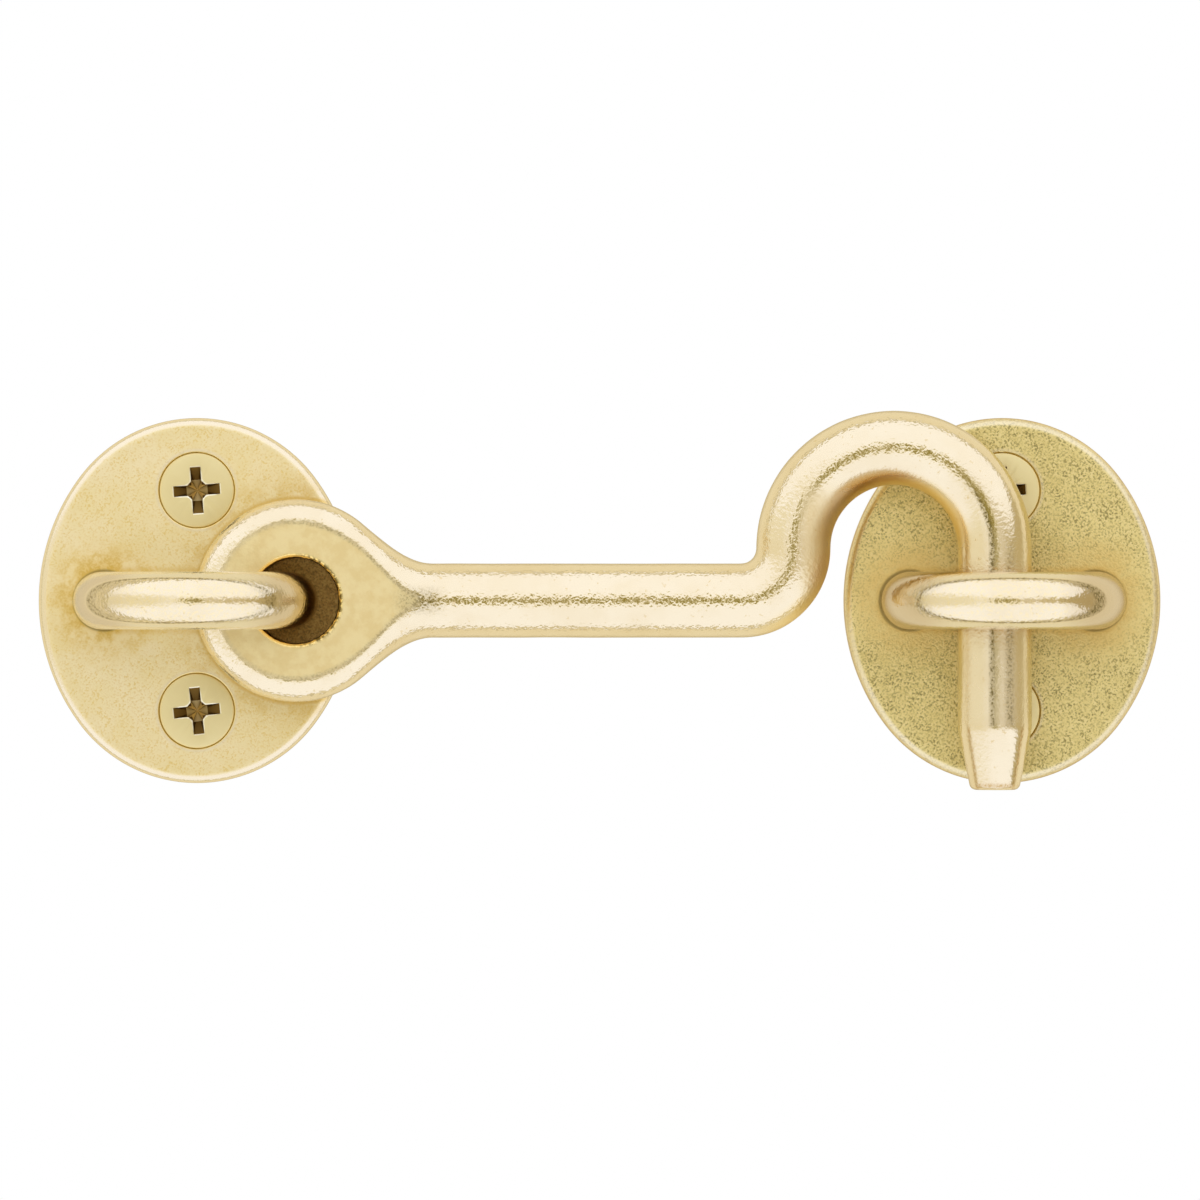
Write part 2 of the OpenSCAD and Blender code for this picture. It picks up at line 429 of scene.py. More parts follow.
# %% Finish and mark a shape
def finish_shape(shape, material):
    """Makes the copies real and gives them their finish."""
    real = shape.node("GeometryNodeRealizeInstances", {"Geometry": shape})
    return real.node("GeometryNodeSetMaterial", {"Geometry": real, "Material": material})


def mark(shape, marks, domain="POINT"):
    """Writes each named value on the points or the faces of a shape."""
    for name, value in marks.items():
        sockets = {"Geometry": shape, "Name": name, "Value": value}
        shape = shape.node("GeometryNodeStoreNamedAttribute", sockets, domain=domain)
    return shape


print("trees ready: begin, run, finish, mark")

# %% [markdown]
# ## The finish of the hook
# The hook came from a mould, and its grain is a fine orange peel, about a third of a millimetre
# across. It breaks the dark reflections into specks and leaves the white ones whole. The rounds were
# rubbed bright. The flat of the ring is duller, and the lip of its eye golden and chipped. The bore is
# painted brown as shade, a golden shade is painted inside the crook, and thin dark lines are painted
# as reflections. Painted maps could show all that, but marks that the shape carries stay sharp at any
# size. The staples have the same grain, so both finishes start from one recipe.

# %% Cast brass
BRIGHT_BRASS = (0.88, 0.775, 0.56, 1)
# Golden tarnish for the castings' pits and clouds, also used for painted shade on the staple leg inside
# the eye.
GOLD_STAIN_AND_SHADE = (0.70, 0.48, 0.14, 1)
CAST_ROUGHNESS = 0.15
CAST_GRAIN = 0.36 * MM
CAST_RELIEF = 0.06 * MM
SPECK_SIZE = 0.22 * MM
PIT_SIZE = 0.5 * MM
CLOUD_SIZE = 5 * MM


def cast_brass(name):
    """What the hook and the staples share: the signals, the colour and the roughness."""
    brass = Brass(name)
    brass.grain = brass.noise(CAST_GRAIN, 1.0)
    brass.specks = brass.noise(SPECK_SIZE).fade(0.47, 0.60)
    clouds = brass.noise(CLOUD_SIZE, 3.0).fade(0.40, 0.65)
    pits = brass.noise(PIT_SIZE, 4.0).fade(0.62, 0.72)
    colour = (pits * 0.4 + clouds * 0.1).blend(BRIGHT_BRASS, GOLD_STAIN_AND_SHADE)
    return brass, colour, CAST_ROUGHNESS + 0.10 * pits + 0.04 * clouds


print(f"cast grain {CAST_GRAIN / MM:.2f} mm across, {CAST_RELIEF / MM:.2f} mm deep")

# %% Hook brass
FLAT_BRASS = (0.93, 0.79, 0.435, 1)
LIP_GOLD = (0.98, 0.74, 0.27, 1)
EYE_BROWN = (0.56, 0.35, 0.11, 1)
# A brown for grime and chips, also used for painted shade and painted dark reflection lines.
GRIME_AND_SHADE_BROWN = (0.22, 0.17, 0.06, 1)
MOTTLE_SIZE = 1.2 * MM
CHIP_SIZE = 0.4 * MM


def hook_finish():
    brass, colour, roughness = cast_brass("hook brass")
    flat, bore, lip = (brass.marked(name) for name in ("flat", "bore", "lip"))
    grime, sheltered, smooth = (brass.marked(name) for name in ("grime", "sheltered", "smooth"))
    mottle = brass.noise(MOTTLE_SIZE, 3.0).fade(0.35, 0.65)
    chips = brass.noise(CHIP_SIZE, 3.0).fade(0.46, 0.54)
    colour = flat.blend(colour, (mottle * 0.25).blend(FLAT_BRASS, GOLD_STAIN_AND_SHADE))
    # Painted golden shade inside the crook and under the bend.
    colour = (sheltered * 0.8).blend(colour, LIP_GOLD)
    # Painted dark reflection lines down the tine and along the ring's flat.
    colour = (grime * (0.35 + 0.65 * brass.specks)).blend(colour, GRIME_AND_SHADE_BROWN)
    # Painted brown shade lines along the edges of the tip's facet.
    colour = (brass.marked("facet") * (0.4 + 0.4 * brass.specks)).blend(colour, EYE_BROWN)
    colour = (lip * 0.9).blend(colour, LIP_GOLD)
    # The bore is painted brown, with darker specks, as shade.
    colour = bore.blend(colour, (brass.specks * 0.4).blend(EYE_BROWN, GRIME_AND_SHADE_BROWN))
    colour = (brass.marked("notch") * chips).blend(colour, GRIME_AND_SHADE_BROWN)
    roughness = roughness + 0.35 * flat * (1 - lip) + brass.marked("satin")
    roughness = roughness + 0.2 * bore + 0.25 * sheltered
    relief = brass.grain * (1 - 0.6 * flat) * (1 - smooth)
    return brass.fill(colour, roughness, relief, CAST_RELIEF)


hook_brass = hook_finish()

# %% [markdown]
# ## The hook
# The hook is one casting. In plan it is a ring joined to a rod by two fillets, then a bend, a crook
# and a tine. Its edges are round all over, and the flat of the ring runs out on the rod in a soft V.
# A swept tube could not give that neck, and joined solids would leave a crease. A distance rule does
# both: at each point of space a sum tells how far the brass is, and the surface lies where the sum
# is zero.

# %% Sizes of the hook, from its box
rod_radius = (hook_high.y - hook_low.y) / 2
tine_x = hook_high.x - rod_radius
RING_RADIUS = 9.15 * MM
EYE_RADIUS = 3.85 * MM
EYE_EDGE = 0.3 * MM
RING_EDGE = 2.1 * MM
NECK_LENGTH = 10.7 * MM
CROOK_RADIUS = 9.1 * MM
TAPER_LENGTH = 5.5 * MM
TIP_RADIUS = 2.2 * MM
TIP_EDGE = 0.4 * MM

eye_x = hook_low.x + RING_RADIUS
neck_fillet = (NECK_LENGTH**2 + rod_radius**2 - RING_RADIUS**2) / (2 * (RING_RADIUS - rod_radius))
crook_x = tine_x - CROOK_RADIUS
crook_z = hook_high.z - CROOK_RADIUS - rod_radius
bend_radius = crook_z
bend_x = crook_x - CROOK_RADIUS - bend_radius
tip_z = hook_low.z
print(f"rod {2000 * rod_radius:.2f} mm, neck fillets {1000 * neck_fillet:.2f} mm")

# %% Distance rules
def spread(a, b):
    """The length of the slope over two sides at a right angle."""
    squares = a * a + b * b
    return squares.maths("SQRT", squares)


def round_join(a, b, radius):
    """Both shapes together, with a fillet of this radius where they meet."""
    corner = spread((radius - a).most(0.0), (radius - b).most(0.0))
    return a.least(b).most(radius) - corner


def round_cut(a, b, radius):
    """What lies in both shapes, with its new edges rounded."""
    corner = spread((a + radius).most(0.0), (b + radius).most(0.0))
    return a.most(b).least(0 - radius) + corner


print("rules ready: spread, join, cut")

# %% Distances of the hook
CASTING_WAVE = 0.05 * MM
HOOK_INPUTS = {
    "Rod radius": rod_radius,
    "Ring radius": RING_RADIUS,
    "Eye radius": EYE_RADIUS,
    "Neck fillet": neck_fillet,
    "Casting wave": CASTING_WAVE,
}
hook_start, hook_sizes = shape_tree("hook rule", HOOK_INPUTS)
rod, ring, eye, fillet, wave = hook_sizes
place = hook_start.node("GeometryNodeInputPosition")
x, z = place.axis("X"), place.axis("Z")
depth = place.axis("Y") - hook_depth
past_eye = x - eye_x
past_crook = x - crook_x
over_crook = z - crook_z
from_eye = spread(past_eye, z)
from_crook = spread(past_crook, over_crook)
from_bend = spread(x - bend_x, over_crook)
print(f"bend {1000 * bend_radius:.2f} mm, crook {1000 * CROOK_RADIUS:.2f} mm")

# %% Rod, bend, crook and tine
# Past its own end an arc seems this much further away, so that the next stretch takes over.
END_PUSH = 2
rod_middle = (eye_x + bend_x) / 2
rod_half = (bend_x - eye_x) / 2
along_rod = spread((abs(x - rod_middle) - rod_half).most(0.0), z)
off_bend = ((bend_x - x).most(0.0) + over_crook.most(0.0)) * END_PUSH
along_bend = spread(from_bend - bend_radius, off_bend)
off_crook = (crook_z - z).most(0.0) * END_PUSH
along_crook = spread(from_crook - CROOK_RADIUS, off_crook)
along_tine = spread(x - tine_x, over_crook.most(0.0))
centreline = along_rod.least(along_bend).least(along_crook).least(along_tine)
taper_slope = (rod_radius - TIP_RADIUS) / TAPER_LENGTH
taper = (tip_z + TAPER_LENGTH - z).most(0.0) * taper_slope
bar = round_cut(spread(centreline, depth) - rod + taper, tip_z - z, TIP_EDGE)
print(f"taper {math.degrees(math.atan(taper_slope)):.1f} degrees on each side")

# %% Ring and neck
strip = (abs(z) - rod).most(x - (eye_x + NECK_LENGTH + rod_radius)).most(eye_x - x)
outline = round_join(from_eye - ring, strip, fillet)
on_neck = past_eye.fade(0.5 * NECK_LENGTH, 1.1 * NECK_LENGTH)
edge = RING_EDGE + on_neck * (rod_radius - RING_EDGE)
beside = outline + edge
above = abs(depth) - rod + edge
head_shape = spread(beside.most(0.0), above.most(0.0)) + beside.most(above).least(0.0) - edge
whole = round_cut(bar.least(head_shape), eye - from_eye, EYE_EDGE)
print(f"ring edge {1000 * RING_EDGE:.1f} mm, grows to {1000 * rod_radius:.2f} mm on the rod")

# %% The whole casting
VOXEL = 0.18 * MM
MARGIN_VOXELS = 4
WAVE_LENGTH = 4 * MM
EASING_STEPS = 2
wobble = place.node("ShaderNodeTexNoise", {"Vector": place, "Scale": 1 / WAVE_LENGTH, "Detail": 1.0})
whole = whole + (wobble - 0.5) * wave
margin = Vector((MARGIN_VOXELS * VOXEL,) * 3)
low, high = hook_low - margin, hook_high + margin
counts = [math.ceil(side / VOXEL) for side in high - low]
solid = whole.node(
    "GeometryNodeVolumeCube",
    {
        "Density": 0 - whole,
        "Background": -1.0,
        "Min": low,
        "Max": high,
        "Resolution X": counts[0],
        "Resolution Y": counts[1],
        "Resolution Z": counts[2],
    },
)
skin = solid.node("GeometryNodeVolumeToMesh", {"Volume": solid, "Threshold": 0.0})
place_on_skin = skin.node("GeometryNodeInputPosition")
eased = skin.node(
    "GeometryNodeBlurAttribute",
    {"Value": place_on_skin, "Iterations": EASING_STEPS},
    data_type="FLOAT_VECTOR",
)
skin = skin.node("GeometryNodeSetPosition", {"Geometry": skin, "Position": eased})
print("voxels:", " x ".join(str(count) for count in counts))

# %% [markdown]
# ## Where the hook is worn, and where light and shade are painted
# Rubbing, chips and painted shade follow the shape. They could be painted by hand, but the distances
# that made the hook also tell where each of them lies. So the tree writes them on the surface as
# marks, which the finish reads. Inside the crook a golden shade is painted. Two dark lines are
# painted down the tine as reflections, another runs along the edge of the ring's flat, and thin brown
# lines of painted shade border the facet of its tip.

# %% Marks of the ring and its eye
FLAT_FADE = (0.5 * MM, -0.3 * MM)
BORE_FADE = (0.08 * MM, 0.0)
LIP_FADE = (0.5 * MM, 0.3 * MM)
NOTCH_FADE = (0.5 * MM, 0.28 * MM)
from_bore = from_eye - eye
bore = from_bore.fade(*BORE_FADE)
marks = {
    "flat": beside.fade(*FLAT_FADE) * (1 - bore),
    "bore": bore,
    "lip": from_bore.fade(*LIP_FADE),
    "notch": from_bore.fade(*NOTCH_FADE) * past_eye.fade(-1 * MM, 2 * MM),
}
# A painted dark reflection line along the edge of the ring's flat, and a painted dark point where the
# flat ends on the neck.
flat_border = abs(beside).fade(0.35 * MM, 0.05 * MM) * (0.15 + 0.35 * past_eye.fade(-6 * MM, 4 * MM))
flat_point = past_eye.fade(0.78 * NECK_LENGTH, 0.98 * NECK_LENGTH) * abs(z).fade(1.6 * MM, 0.3 * MM)
flat_point = flat_point * past_eye.fade(1.3 * NECK_LENGTH, 1.1 * NECK_LENGTH)
print("ring marks:", ", ".join(marks))

# %% Marks of the crook and the tine
LONG_LINE_AT = -0.35 * MM
SHORT_LINE_AT = 1.25 * MM
inside = CROOK_RADIUS - from_crook
tine = past_crook.fade(0, 3 * MM) * over_crook.fade(3 * MM, -4 * MM)
shoulder = past_crook.fade(3 * MM, 8 * MM)
from_limb = past_crook + CROOK_RADIUS
inner_limb = from_limb.fade(0.0, 0.5 * rod_radius) * from_limb.fade(6 * MM, 4 * MM)
inner_limb = inner_limb * abs(over_crook).fade(7 * MM, 3 * MM)
inner = inside.fade(0.0, 0.6 * rod_radius) * over_crook.fade(-3 * MM, 1 * MM)
outer = abs(depth).fade(0.8 * rod_radius, 0.3 * rod_radius)
in_crook = inside.fade(0.55 * rod_radius, rod_radius) * over_crook.fade(-1 * MM, 2 * MM)
below_bend = (from_bend - bend_radius).fade(0.5 * rod_radius, rod_radius)
below_bend = below_bend * over_crook.fade(2 * MM, -1 * MM)
below_bend = below_bend * (x - bend_x).fade(0, 5 * MM) * past_crook.fade(0, -3 * MM)
off_line = spread(past_crook, over_crook.most(0.0)) - CROOK_RADIUS
right_limb = past_crook.fade(3 * MM, 7 * MM) * over_crook.fade(7 * MM, 3 * MM)
# Two painted dark reflection lines down the tine.
long_line = abs(off_line - LONG_LINE_AT).fade(0.35 * MM, 0.05 * MM) * right_limb
short_line = abs(off_line - SHORT_LINE_AT).fade(0.6 * MM, 0.05 * MM) * tine
marks["smooth"] = (shoulder * 0.5).most(inner * 0.85).most(outer * 0.4)
# Painted golden shade inside the crook, under the bend and on the inner limb.
marks["sheltered"] = in_crook.most(below_bend).most(inner_limb * 0.4)
print(f"lines of grime {(SHORT_LINE_AT - LONG_LINE_AT) / MM:.1f} mm apart")

# %% Marks of the tip, and the finished hook
FACET_SHARE = 0.73
FACET_HALF_WIDTH = (1.8 * MM, 1.5 * MM)
on_taper = (z - tip_z).fade(TAPER_LENGTH + 0.5 * MM, TAPER_LENGTH)
from_tine = abs(x - tine_x)
# Painted brown shade lines along the sides and the end of the tip's facet.
facet_side = abs(from_tine - FACET_SHARE * (rod_radius - taper)).fade(0.22 * MM, 0.02 * MM)
facet_end = abs(z - tip_z - TIP_EDGE).fade(0.3 * MM, 0.05 * MM) * from_tine.fade(*FACET_HALF_WIDTH)
# All the painted dark reflection lines in one mark.
grime = long_line.most(short_line * 0.7) * (1 - on_taper)
marks["facet"] = facet_side.most(facet_end) * on_taper
marks["grime"] = grime.most(flat_border).most(flat_point * 0.6)
marks["satin"] = (tine * (1 - 0.8 * on_taper) * 0.12).most(inner_limb * 0.18)
skin = mark(skin, marks)
hook = run_tree(finish_shape(skin, hook_brass), "cast_hook", HOOK_INPUTS)
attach(hook, "hook")
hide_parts("hook")

# %% [markdown]
# ## Rolling a grid
# A staple, a screw, a drill and even an oval plate are all round in one direction. They could be
# primitives joined together, but seams would show. Each is a flat grid rolled up: one side of the
# grid becomes the turn, and each row gets a radius and a depth. The first and last rows shrink to
# points, the seam is welded, and the result is a closed solid.

# %% Roll up rows
WELD = 0.001 * MM


def rolled_rows(start, turns, rows):
    """A grid, with the turn and the row number of each of its points."""
    grid = start.node(
        "GeometryNodeMeshGrid",
        {"Size X": 1.0, "Size Y": 1.0, "Vertices X": turns + 1, "Vertices Y": rows},
    )
    cell = grid.node("GeometryNodeInputPosition")
    return grid, (cell.axis("X") + 0.5) * math.tau, (cell.axis("Y") + 0.5) * (rows - 1)


def along(row, values):
    """A value that runs straight from one listed number to the next, row by row."""
    total = row * 0 + values[0]
    for number, (here, there) in enumerate(zip(values, values[1:])):
        limits = {"Value": row, "From Min": float(number), "From Max": number + 1.0, "To Min": 0.0}
        total = total + row.node("ShaderNodeMapRange", {**limits, "To Max": there - here})
    return total


def weld(grid, x, y, z):
    """Moves the grid's points to their place and joins what meets."""
    spot = grid.node("ShaderNodeCombineXYZ", {"X": x, "Y": y, "Z": z})
    moved = grid.node("GeometryNodeSetPosition", {"Geometry": grid, "Position": spot})
    return moved.node("GeometryNodeMergeByDistance", {"Geometry": moved, "Distance": WELD})


print("rolling ready")

# %% [markdown]
# ## The staples
# Each staple is a bar bent to a half circle on two straight legs. Its shoulders stand on the plate,
# and its tails go through and are riveted over at the back. A swept curve would give the arch but
# not the rivets. So a grid is rolled: its rows run from one rivet over the arch to the other, and
# the list of radii and depths is read from both ends towards the middle.

# %% Sizes of the staples, from their box
staple_low, staple_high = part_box("hook_staple")
plate_low, plate_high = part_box("hook_backplate")
WIRE_RADIUS = 2.6 * MM
TAIL_RADIUS = 2 * MM
RIVET_SINK = 0.02 * MM
ARCH_STEPS = 96
WIRE_STEPS = 64
rivet_radius = (staple_high.z - staple_low.z) / 2
leg_x = staple_high.x - rivet_radius
arch_y = staple_low.y + WIRE_RADIUS + leg_x
rivet_height = rivet_radius - TAIL_RADIUS
rivet_y = plate_high.y - RIVET_SINK
hook_plate_x = (plate_low.x + plate_high.x) / 2
keeper_plate_x = sum(corner.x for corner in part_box("keeper_backplate")) / 2
plates_apart = keeper_plate_x - hook_plate_x
print(f"wire {2000 * WIRE_RADIUS:.1f} mm, legs {2000 * leg_x:.1f} mm apart")

# %% [markdown]
# ## The finish of the staples
# The side of a staple that faces forward keeps its bright colour, in the shape of a leaf, as a
# painted highlight: the sides around it are painted greyer as shade, and a thin dark line is painted
# along its border as a reflection, with a dark crescent of painted shade near each end. The ends are
# painted olive as shade. The grazing edges are painted pale as a highlight on the hook's staple and
# brown as shade on the keeper's, and the leg in the hook's eye is painted golden and brown as shade.
# The leaf could be drawn on a map. But it is simply where the surface looks forward, so the shape
# carries that as a mark. On each staple the leaf lies a little off the middle.

# %% Staple brass
# How far a staple's surface must face forward to lie in the leaf, which is left bright as a painted
# highlight.
LEAF_FACING = 0.65
HOOK_LEAF_SHIFT = 14
KEEPER_LEAF_SHIFT = -5.5
STAPLE_MOTTLE = 0.3 * MM
STAPLE_RELIEF = 0.55 * CAST_RELIEF
# Colours of painted light on the staples: grey shade on the sides, a pale highlight on the hook staple's
# edges, olive shade at the ends.
SIDE_GREY = (0.84, 0.765, 0.57, 1)
EDGE_PALE = (1.0, 0.97, 0.92, 1)
END_OLIVE = (0.69, 0.57, 0.40, 1)


def staple_finish():
    brass, colour, roughness = cast_brass("staple brass")
    across = brass.place.axis("X") - hook_plate_x
    keeper = across.beyond(plates_apart / 2)
    across = across - plates_apart * keeper
    ahead = brass.marked("ahead")
    leaf = ahead - across * (HOOK_LEAF_SHIFT + (KEEPER_LEAF_SHIFT - HOOK_LEAF_SHIFT) * keeper)
    in_front = brass.place.axis("Y").fade(plate_low.y + 1 * MM, plate_low.y)
    ends = abs(across).fade(0.5 * leg_x, 0.95 * leg_x)
    left_end = across.fade(0, -0.5 * leg_x)
    right_end = across.fade(0, 0.5 * leg_x)
    mottle = brass.noise(STAPLE_MOTTLE, 3.0).fade(0.45, 0.65)
    colour = (mottle * 0.45).blend(colour, FLAT_BRASS)
    # The sides outside the forward-facing leaf are painted greyer as shade, which leaves the leaf as a
    # painted highlight.
    outside = leaf.fade(LEAF_FACING, LEAF_FACING - 0.1)
    colour = (outside * 0.9).blend(colour, SIDE_GREY)
    # The ends, where the arch turns away, are painted olive as shade, more so on the keeper's right end.
    end_shade = outside.most(keeper * right_end)
    colour = (ends * (0.3 + 0.5 * end_shade)).blend(colour, END_OLIVE)
    # The grazing edges are painted: a pale highlight on the hook's staple, brown shade on the keeper's.
    edge = ahead.fade(0.4, 0.05) * in_front * 0.85
    colour = edge.blend(colour, keeper.blend(EDGE_PALE, EYE_BROWN))
    # A thin dark line painted along the leaf's border as a reflection, and a dark crescent of painted
    # shade near its ends.
    border = abs(leaf - LEAF_FACING).fade(0.045, 0.005) * (0.35 + 0.45 * brass.specks)
    leaf_end = ends * abs(leaf - LEAF_FACING - 0.03).fade(0.08, 0.01) * (0.25 + 0.37 * brass.specks)
    leaf_end = leaf_end * (1 + keeper * (0.7 * right_end - 0.7 * left_end))
    colour = border.most(leaf_end).blend(colour, GRIME_AND_SHADE_BROWN)
    # The leg inside the hook's eye is painted golden, then brown, as shade.
    ring_leg = abs(across - leg_x).fade(4.5 * MM, 3.5 * MM) * in_front * (1 - keeper)
    depth = brass.place.axis("Y") - hook_low.y
    golden = ring_leg * depth.fade(-4.5 * MM, -0.5 * MM)
    colour = (golden * (0.6 + 0.4 * brass.specks)).blend(colour, GOLD_STAIN_AND_SHADE)
    colour = (ring_leg * depth.fade(-1 * MM, 2.5 * MM)).blend(colour, EYE_BROWN)
    return brass.fill(colour, roughness, brass.grain, STAPLE_RELIEF)


staple_brass = staple_finish()

# %% Bend and rivet
STAPLE_INPUTS = {"Wire radius": WIRE_RADIUS, "Arch radius": leg_x}
staple_start, (wire, arch) = shape_tree("staple rule", STAPLE_INPUTS)
END_CORNERS = [
    (0.0, rivet_y),
    (rivet_radius, rivet_y),
    (TAIL_RADIUS, rivet_y - rivet_height),
    (TAIL_RADIUS, plate_low.y),
    (WIRE_RADIUS, plate_low.y),
    (WIRE_RADIUS, arch_y),
]
last_corner = len(END_CORNERS) - 1
row_count = 2 * last_corner + ARCH_STEPS + 1
grid, turn, row = rolled_rows(staple_start, WIRE_STEPS, row_count)
from_end = row.least(row_count - 1 - row)
thickness = along(from_end, [corner[0] / WIRE_RADIUS for corner in END_CORNERS]) * wire
leg_depth = along(from_end, [corner[1] - arch_y for corner in END_CORNERS])
bent = ((row - last_corner) / ARCH_STEPS).most(0.0).least(1.0) * math.pi
reach = arch + thickness * turn.cosine()
bar_x = 0 - reach * bent.cosine()
bar_y = arch_y + leg_depth - reach * bent.sine()
one_staple = weld(grid, bar_x, bar_y, 0 - thickness * turn.sine())
ahead = one_staple.node("GeometryNodeInputNormal").axis("Y")
one_staple = mark(one_staple, {"ahead": 0 - ahead})
copies = one_staple.node(
    "GeometryNodeMeshLine",
    {"Count": 2, "Start Location": (hook_plate_x, 0, 0), "Offset": (plates_apart, 0, 0)},
)
both = copies.node("GeometryNodeInstanceOnPoints", {"Points": copies, "Instance": one_staple})
staples = run_tree(finish_shape(both, staple_brass), "bent_staples", STAPLE_INPUTS, sharp_angle=40)
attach(staples, "plates")
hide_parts("hook_staple", "keeper_staple")

# %% [markdown]
# ## The finish of the screws
# The screws were turned, so they have less grain than the castings, and they are duller and a little
# greener. The recess is painted dark brown as shade, with a golden star at its bottom, and its worn
# edge is painted bright, partly as a highlight. A material for each of these could show that, but
# marks on the faces do it with one.

# %% Screw brass
SCREW_FACE = (0.88, 0.77, 0.425, 1)
SCREW_TARNISH = (0.74, 0.61, 0.27, 1)
# The worn edge colour is partly a painted highlight, and the recess brown is painted shade.
WORN_EDGE_HIGHLIGHT = (0.99, 0.93, 0.70, 1)
RECESS_BROWN = (0.19, 0.11, 0.025, 1)
STAR_GOLD = (0.92, 0.74, 0.36, 1)
GROOVE_GOLD = (0.88, 0.74, 0.36, 1)
SCREW_CLOUD = 2 * MM
SCREW_GRAIN = 0.3 * MM
SCREW_RELIEF = 0.004 * MM
SCREW_ROUGHNESS = 0.46


def screw_finish():
    brass = Brass("screw brass")
    clouds = brass.noise(SCREW_CLOUD)
    # The recess walls are painted dark brown as shade, while the star at the bottom keeps a golden
    # colour.
    inside = brass.marked("star").blend(RECESS_BROWN, STAR_GOLD)
    colour = (clouds * 0.25).blend(SCREW_FACE, SCREW_TARNISH)
    colour = brass.marked("rim").blend(colour, GROOVE_GOLD)
    # The worn edge of the recess is painted bright: wear and a painted highlight.
    colour = brass.marked("worn").blend(colour, WORN_EDGE_HIGHLIGHT)
    colour = brass.marked("recess").blend(colour, inside)
    roughness = SCREW_ROUGHNESS + 0.06 * clouds
    return brass.fill(colour, roughness, brass.noise(SCREW_GRAIN), SCREW_RELIEF)


screw_brass = screw_finish()

# %% [markdown]
# ## The screws
# Four flat-head wood screws hold the plates. A modelled thread could be a helix swept round a core.
# Here one grid gives the whole screw: the head, its worn edge and the cone are a few rows. The shank
# has many, and on it the thread is a ridge whose phase follows both the turn and the depth.

# %% Sizes of the screws
screw_low, screw_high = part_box("hook_screw_upper")
head_radius = (screw_high.x - screw_low.x) / 2
screw_length = screw_high.y - screw_low.y
HEAD_LAND = 0.2 * MM
HEAD_WEAR = 0.2 * MM
HEAD_WEAR_DEPTH = 0.06 * MM
HEAD_GAP = 0.08 * MM
NECK_RADIUS = 1.3 * MM
HEAD_HALF_ANGLE = 41
THREAD_RADIUS = 1.75 * MM
CORE_RADIUS = 1.2 * MM
THREAD_PITCH = 1.41 * MM
THREAD_FLANK = 0.28
POINT_LENGTH = 4 * MM
THREAD_ROWS = 160
SCREW_STEPS = 48
head_slope = math.tan(math.radians(HEAD_HALF_ANGLE))
cone_end = HEAD_LAND + (head_radius + HEAD_GAP - NECK_RADIUS) / head_slope
shank_start = plate_high.y - screw_low.y
print(f"head {2000 * head_radius:.1f} mm, length {1000 * screw_length:.1f} mm")

# %% Head and thread
SCREW_INPUTS = {"Length": screw_length, "Pitch": THREAD_PITCH}
screw_start, (length, pitch) = shape_tree("screw rule", SCREW_INPUTS)
HEAD_CORNERS = [
    (0.0, 0.0),
    (head_radius - HEAD_WEAR, 0.0),
    (head_radius, HEAD_WEAR_DEPTH),
    (head_radius + HEAD_GAP, HEAD_LAND),
    (NECK_RADIUS, cone_end),
    (NECK_RADIUS, shank_start),
]
neck_row = len(HEAD_CORNERS) - 1
grid, turn, row = rolled_rows(screw_start, SCREW_STEPS, neck_row + THREAD_ROWS + 1)
into_wood = (row - neck_row).most(0.0) / THREAD_ROWS * (length - shank_start)
down = along(row, [corner[1] for corner in HEAD_CORNERS]) + into_wood
sharpened = ((length - down) / POINT_LENGTH).least(1.0).most(0.0)
phase = (down / pitch + turn / math.tau).fraction()
ridge = (1 - abs(phase - 0.5) / THREAD_FLANK).most(0.0) * into_wood.fade(0, THREAD_PITCH)
threaded = (CORE_RADIUS + (THREAD_RADIUS - CORE_RADIUS) * ridge) * sharpened
in_wood = (row - neck_row).most(0.0).least(1.0)
plain = along(row, [corner[0] for corner in HEAD_CORNERS])
radius = plain * (1 - in_wood) + threaded * in_wood
body = weld(grid, radius * turn.cosine(), down, 0 - radius * turn.sine())
print(f"thread: {(screw_length - shank_start) / THREAD_PITCH:.0f} turns of {THREAD_PITCH / MM:.2f} mm")

# %% [markdown]
# ## The cross recess
# A punch makes the recess of a real screw, and here a punch cuts it too. It is rolled like the rest:
# its outline is a cross, told as a radius for each turn, and it narrows to a star at the bottom. Two
# crossed boxes would be quicker, but they would have no worn edge and no star.

# %% Sizes of the recess
RECESS_REACH = 2.1 * MM
RECESS_HALF_WIDTH = 0.47 * MM
RECESS_CORNER = 1.3 * MM
RECESS_DEPTH = 1 * MM
RECESS_WEAR = 0.05 * MM
STAR_REACH = 0.95 * MM
STAR_CORNER = 0.75 * MM
STAR_DEPTH = 0.7 * MM
ABOVE_FACE = 0.2 * MM
RECESS_STEPS = 288
QUARTER = math.tau / 4
TINY = 0.0001
flare = 2 * (ABOVE_FACE + RECESS_WEAR)
print(f"recess {2000 * RECESS_REACH:.1f} mm across")

# %% Cut the cross recess
def cut_away(shape, cutters):
    meshes = {"Mesh 1": shape, "Mesh 2": cutters}
    return shape.node("GeometryNodeMeshBoolean", meshes, operation="DIFFERENCE", solver="EXACT")


